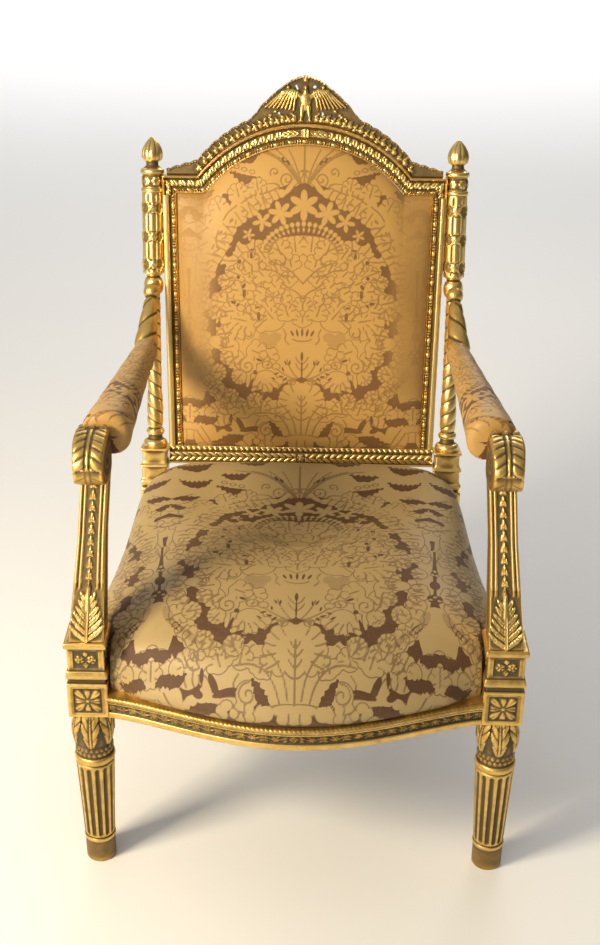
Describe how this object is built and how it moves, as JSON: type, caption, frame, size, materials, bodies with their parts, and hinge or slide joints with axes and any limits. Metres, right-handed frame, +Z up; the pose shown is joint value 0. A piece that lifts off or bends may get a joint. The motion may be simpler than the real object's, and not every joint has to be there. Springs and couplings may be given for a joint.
{
  "type": "throne armchair",
  "caption": "Carved and gilded throne armchair with fluted front legs, twisted back columns, a pierced crest with a spread-winged bird, and damask upholstery on seat, back and arms.",
  "frame": {"origin": "middle of the footprint box on the floor, midway between the front of the seat rail and the back of the crest", "axes": "+Z up, the sitter faces -Y, +X is to the right of someone who looks at the front of the chair; X = 0 is the plane of symmetry"},
  "size_m": [0.72, 0.7906, 1.1628],
  "materials": {
    "leg_front_left": "gilded, with brown patina in the recesses",
    "leg_front_right": "gilded, with brown patina in the recesses",
    "post_left": "gilded, with brown patina in the recesses",
    "post_right": "gilded, with brown patina in the recesses",
    "seat_rail_front": "gilded, with brown patina in the recesses",
    "seat_rail_left": "gilded, with brown patina in the recesses",
    "seat_rail_right": "gilded, with brown patina in the recesses",
    "seat_rail_back": "gilded, with brown patina in the recesses",
    "stile_left": "gilded, with brown patina in the recesses",
    "stile_right": "gilded, with brown patina in the recesses",
    "top_rail": "gilded, with brown patina in the recesses",
    "bottom_rail": "gilded, with brown patina in the recesses",
    "crest_carving": "gilded, with brown patina in the recesses",
    "arm_left": "gilded, with brown patina in the recesses",
    "arm_right": "gilded, with brown patina in the recesses",
    "arm_support_left": "gilded, with brown patina in the recesses",
    "arm_support_right": "gilded, with brown patina in the recesses",
    "seat_cushion": "woven damask",
    "back_pad": "woven damask",
    "back_cover": "woven damask",
    "arm_pad_left": "woven damask",
    "arm_pad_right": "woven damask"
  },
  "bodies": {
    "root": {"leg_front_left": "leg_front_left", "leg_front_right": "leg_front_right", "post_left": "post_left", "post_right": "post_right", "seat_rail_front": "seat_rail_front", "seat_rail_left": "seat_rail_left", "seat_rail_right": "seat_rail_right", "seat_rail_back": "seat_rail_back", "stile_left": "stile_left", "stile_right": "stile_right", "top_rail": "top_rail", "bottom_rail": "bottom_rail", "crest_carving": "crest_carving", "arm_left": "arm_left", "arm_right": "arm_right", "arm_support_left": "arm_support_left", "arm_support_right": "arm_support_right", "seat_cushion": "seat_cushion", "back_pad": "back_pad", "back_cover": "back_cover", "arm_pad_left": "arm_pad_left", "arm_pad_right": "arm_pad_right"}
  },
  "joints": []
}
